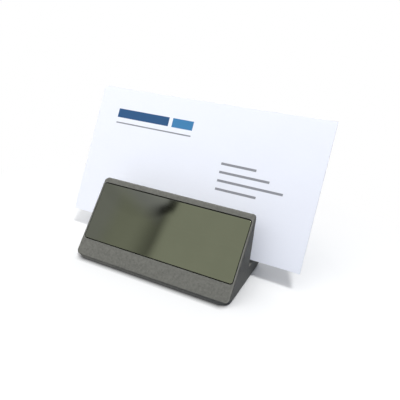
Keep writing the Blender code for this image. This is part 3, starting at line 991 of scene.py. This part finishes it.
class SetStage(bpy.types.Operator):
    """Set the floor, the lamps, the surroundings and the camera"""

    bl_idname = "desk_stand.set_stage"
    bl_label = "Stage"

    def execute(self, context):
        settings = context.scene.desk_stand.stage
        self.add_camera(context, settings)
        self.add_lamp("key_lamp", settings.key, settings.key_size, settings.key_power)
        self.add_lamp("fill_lamp", settings.fill, settings.fill_size, settings.fill_power)
        self.add_floor(settings)
        self.add_surroundings(context, settings)
        context.scene.view_settings.view_transform = "Standard"
        return {"FINISHED"}

    def add_camera(self, context, settings):
        turn, tilt, roll = settings.turn, settings.tilt, settings.roll
        back = Vector((sin(turn) * cos(tilt), -cos(turn) * cos(tilt), sin(tilt)))
        level = Vector((cos(turn), sin(turn), 0))
        upright = back.cross(level)
        right = level * cos(roll) + upright * sin(roll)
        up = upright * cos(roll) - level * sin(roll)
        spot = right * settings.across + up * settings.above + back * settings.distance
        data = bpy.data.cameras.new("camera")
        data.sensor_width = 36.0
        data.lens = settings.lens
        data.clip_start = 5 * MM
        camera = placed("camera", data)
        axes = Matrix((right, up, back)).transposed().to_4x4()
        camera.matrix_world = Matrix.Translation(spot) @ axes
        context.scene.camera = camera

    def add_lamp(self, name, spot, size, power):
        data = bpy.data.lights.new(name, "AREA")
        data.shape = "DISK"
        data.size = size
        data.energy = power
        lamp = placed(name, data)
        spot = Vector(spot)
        aim = spot.to_track_quat("Z", "Y").to_matrix().to_4x4()
        lamp.matrix_world = Matrix.Translation(spot) @ aim
        lamp.visible_camera = False
        lamp.visible_glossy = name == "key_lamp"

    def rays(self, wiring):
        """Masks that are 1 for what the camera sees directly, through glass and in gloss, and for
        bounced light."""
        path = wiring.node("ShaderNodeLightPath")
        names = ("Is Camera Ray", "Is Transmission Ray", "Is Glossy Ray", "Is Diffuse Ray")
        return [Field(wiring, path.outputs[name]) for name in names]

    def add_floor(self, settings):
        sheet = bmesh.new()
        bmesh.ops.create_grid(sheet, x_segments=8, y_segments=8, size=FLOOR_REACH)
        mesh = to_mesh("floor", sheet)
        floor_object = placed("floor", mesh)
        floor_object.location.z = -FLOOR_DROP
        material = bpy.data.materials.new("floor")
        material.use_nodes = True
        wiring = Wiring(material.node_tree)
        at = wiring.field("ShaderNodeTexCoord", output="Object")
        away = wiring.field("ShaderNodeVectorMath", {"operation": "LENGTH"}, {0: at}, "Value")
        far = wiring.onward(away, settings.lit_radius, settings.lit_radius)
        camera, through, glossy, bounced = self.rays(wiring)
        seen = wiring.math("ADD", camera + through, glossy, clamp=True)
        reach = {"Distance": settings.contact}
        open_sky = wiring.field("ShaderNodeAmbientOcclusion", {"samples": 16}, reach, "AO")
        low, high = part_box("body_casting")
        x, y = wiring.split(at)[:2]
        in_front = wiring.onward(low.y - y, *CONTACT_FADE)
        ends = (low.x + CONTACT_INSET, high.x - CONTACT_INSET)
        in_front = in_front * wiring.within(x, *ends, CONTACT_SOFT)
        # Painted shade: ambient occlusion darkens the floor's colour in front of the stand's front
        # edge
        painted_contact_shade = 1 - in_front * (1 - wiring.math("POWER", open_sky, CONTACT_POWER))
        pale = wiring.onward(high.x - x, 0.0, high.x - low.x)
        thrown = wiring.blend(pale, rgba(settings.bounce), rgba(settings.pale))
        tone = wiring.blend(bounced, wiring.tint(rgba(settings.floor), painted_contact_shade), thrown)
        lit = wiring.field("ShaderNodeBsdfDiffuse", None, {"Color": tone})
        white = wiring.field("ShaderNodeEmission", None, {"Color": WHITE, "Strength": 1.0})
        surface = wiring.field("ShaderNodeMixShader", None, {0: far * seen, 1: lit, 2: white})
        wiring.node("ShaderNodeOutputMaterial", None, {"Surface": surface})
        mesh.materials.append(material)

    def mirrored_left(self, wiring):
        """What white metal mirrors: its grey level, 1 on the right of the screen's edge and darker on
        the left, and how cool it is, from 0 to 1."""
        towards = wiring.field("ShaderNodeTexCoord", output="Generated")
        edge = {0: towards, 1: SCREEN_EDGE}
        beside = wiring.field("ShaderNodeVectorMath", {"operation": "DOT_PRODUCT"}, edge, "Value")
        rise = wiring.split(towards)[2]
        across = beside * SCREEN_SPREAD + 0.5
        left = wiring.within(beside, *LEFT_BAND)
        level = wiring.ramp(across, SCREEN_STOPS)

        arm_beside, arm_rise = ARM_LOWEST
        bend = beside - arm_beside
        above = rise - (bend * bend * ARM_CURVE + arm_rise)
        top = wiring.onward(above, *TOP_FADE) * left
        level = level + top * (wiring.ramp(rise, TOP_STOPS) - level)
        arm = wiring.within(above, *ARM_BAND) * wiring.ramp(across, ARM_STOPS)
        post = wiring.within(beside, *POST_BAND) * wiring.onward(rise, *POST_FADE)
        shade = wiring.math("MAXIMUM", arm, post * POST_SHADE)

        high = wiring.onward(rise, *COOL_HIGH_FADE)
        far = wiring.onward(0 - beside, *COOL_FAR_FADE)
        cool = wiring.math("MAXIMUM", high, far * COOL_FAR_SHARE) * left
        # The tint would darken the grey, so the level makes up for it
        return level * (1 - shade) / (1 - cool * (1 - COOL_METAL[1])), cool

    def add_surroundings(self, context, settings):
        world = bpy.data.worlds.new("surroundings")
        world.use_nodes = True
        wiring = Wiring(world.node_tree)
        camera, through, glossy, bounced = self.rays(wiring)
        plain = wiring.math("ADD", camera, through, clamp=True)
        right, back = wiring.split(wiring.field("ShaderNodeTexCoord", output="Generated"))[:2]
        left = wiring.math("MULTIPLY", right, -SIDE_GAIN, clamp=True)
        right = wiring.math("MULTIPLY", right, SIDE_GAIN, clamp=True)
        back = wiring.math("MAXIMUM", back, 0.0) * (1 - left * settings.glow_fade)
        soft = (1 - right * settings.dim_right) * (1 - left * settings.dim_left)
        soft = soft * (1 + back * settings.glow_back) * settings.surroundings
        mirrored, cool = self.mirrored_left(wiring)
        strength = soft + plain * (1 - soft) + glossy * (mirrored - soft)
        tone = wiring.blend(bounced * right, WHITE, rgba(settings.cool))
        tone = wiring.blend(glossy * cool, tone, rgba(COOL_METAL))
        light = wiring.field("ShaderNodeBackground", None, {"Color": tone, "Strength": strength})
        wiring.node("ShaderNodeOutputWorld", None, {"Surface": light})
        context.scene.world = world


class StandPanel(bpy.types.Panel):
    """Lists the operators and the settings of each piece"""

    bl_idname = "VIEW3D_PT_desk_stand"
    bl_label = "Phone and card stand"
    bl_space_type = "VIEW_3D"
    bl_region_type = "UI"
    bl_category = "Stand"

    def draw(self, context):
        settings = context.scene.desk_stand
        for operator, group in STEPS:
            box = self.layout.box()
            box.operator(operator.bl_idname)
            part = getattr(settings, group)
            for name in part.__annotations__:
                box.prop(part, name)


STEPS = (
    (DressCasting, "casting"),
    (DressPlate, "plate"),
    (DressLiners, "liners"),
    (DressBase, "base"),
    (DressPad, "base"),
    (DressCard, "card"),
    (SetStage, "stage"),
)
CLASSES = (
    CastingSettings,
    PlateSettings,
    LinerSettings,
    BaseSettings,
    CardSettings,
    StageSettings,
    StandSettings,
    *(operator for operator, group in STEPS),
    StandPanel,
)


def register():
    for made in CLASSES:
        bpy.utils.register_class(made)
    bpy.types.Scene.desk_stand = PointerProperty(type=StandSettings)


def unregister():
    del bpy.types.Scene.desk_stand
    for made in reversed(CLASSES):
        bpy.utils.unregister_class(made)


def main():
    register()
    bpy.ops.desk_stand.dress_casting()
    bpy.ops.desk_stand.dress_plate()
    bpy.ops.desk_stand.dress_liners()
    bpy.ops.desk_stand.dress_base()
    bpy.ops.desk_stand.dress_pad()
    bpy.ops.desk_stand.dress_card()
    bpy.ops.desk_stand.set_stage()


if __name__ == "__main__":
    main()
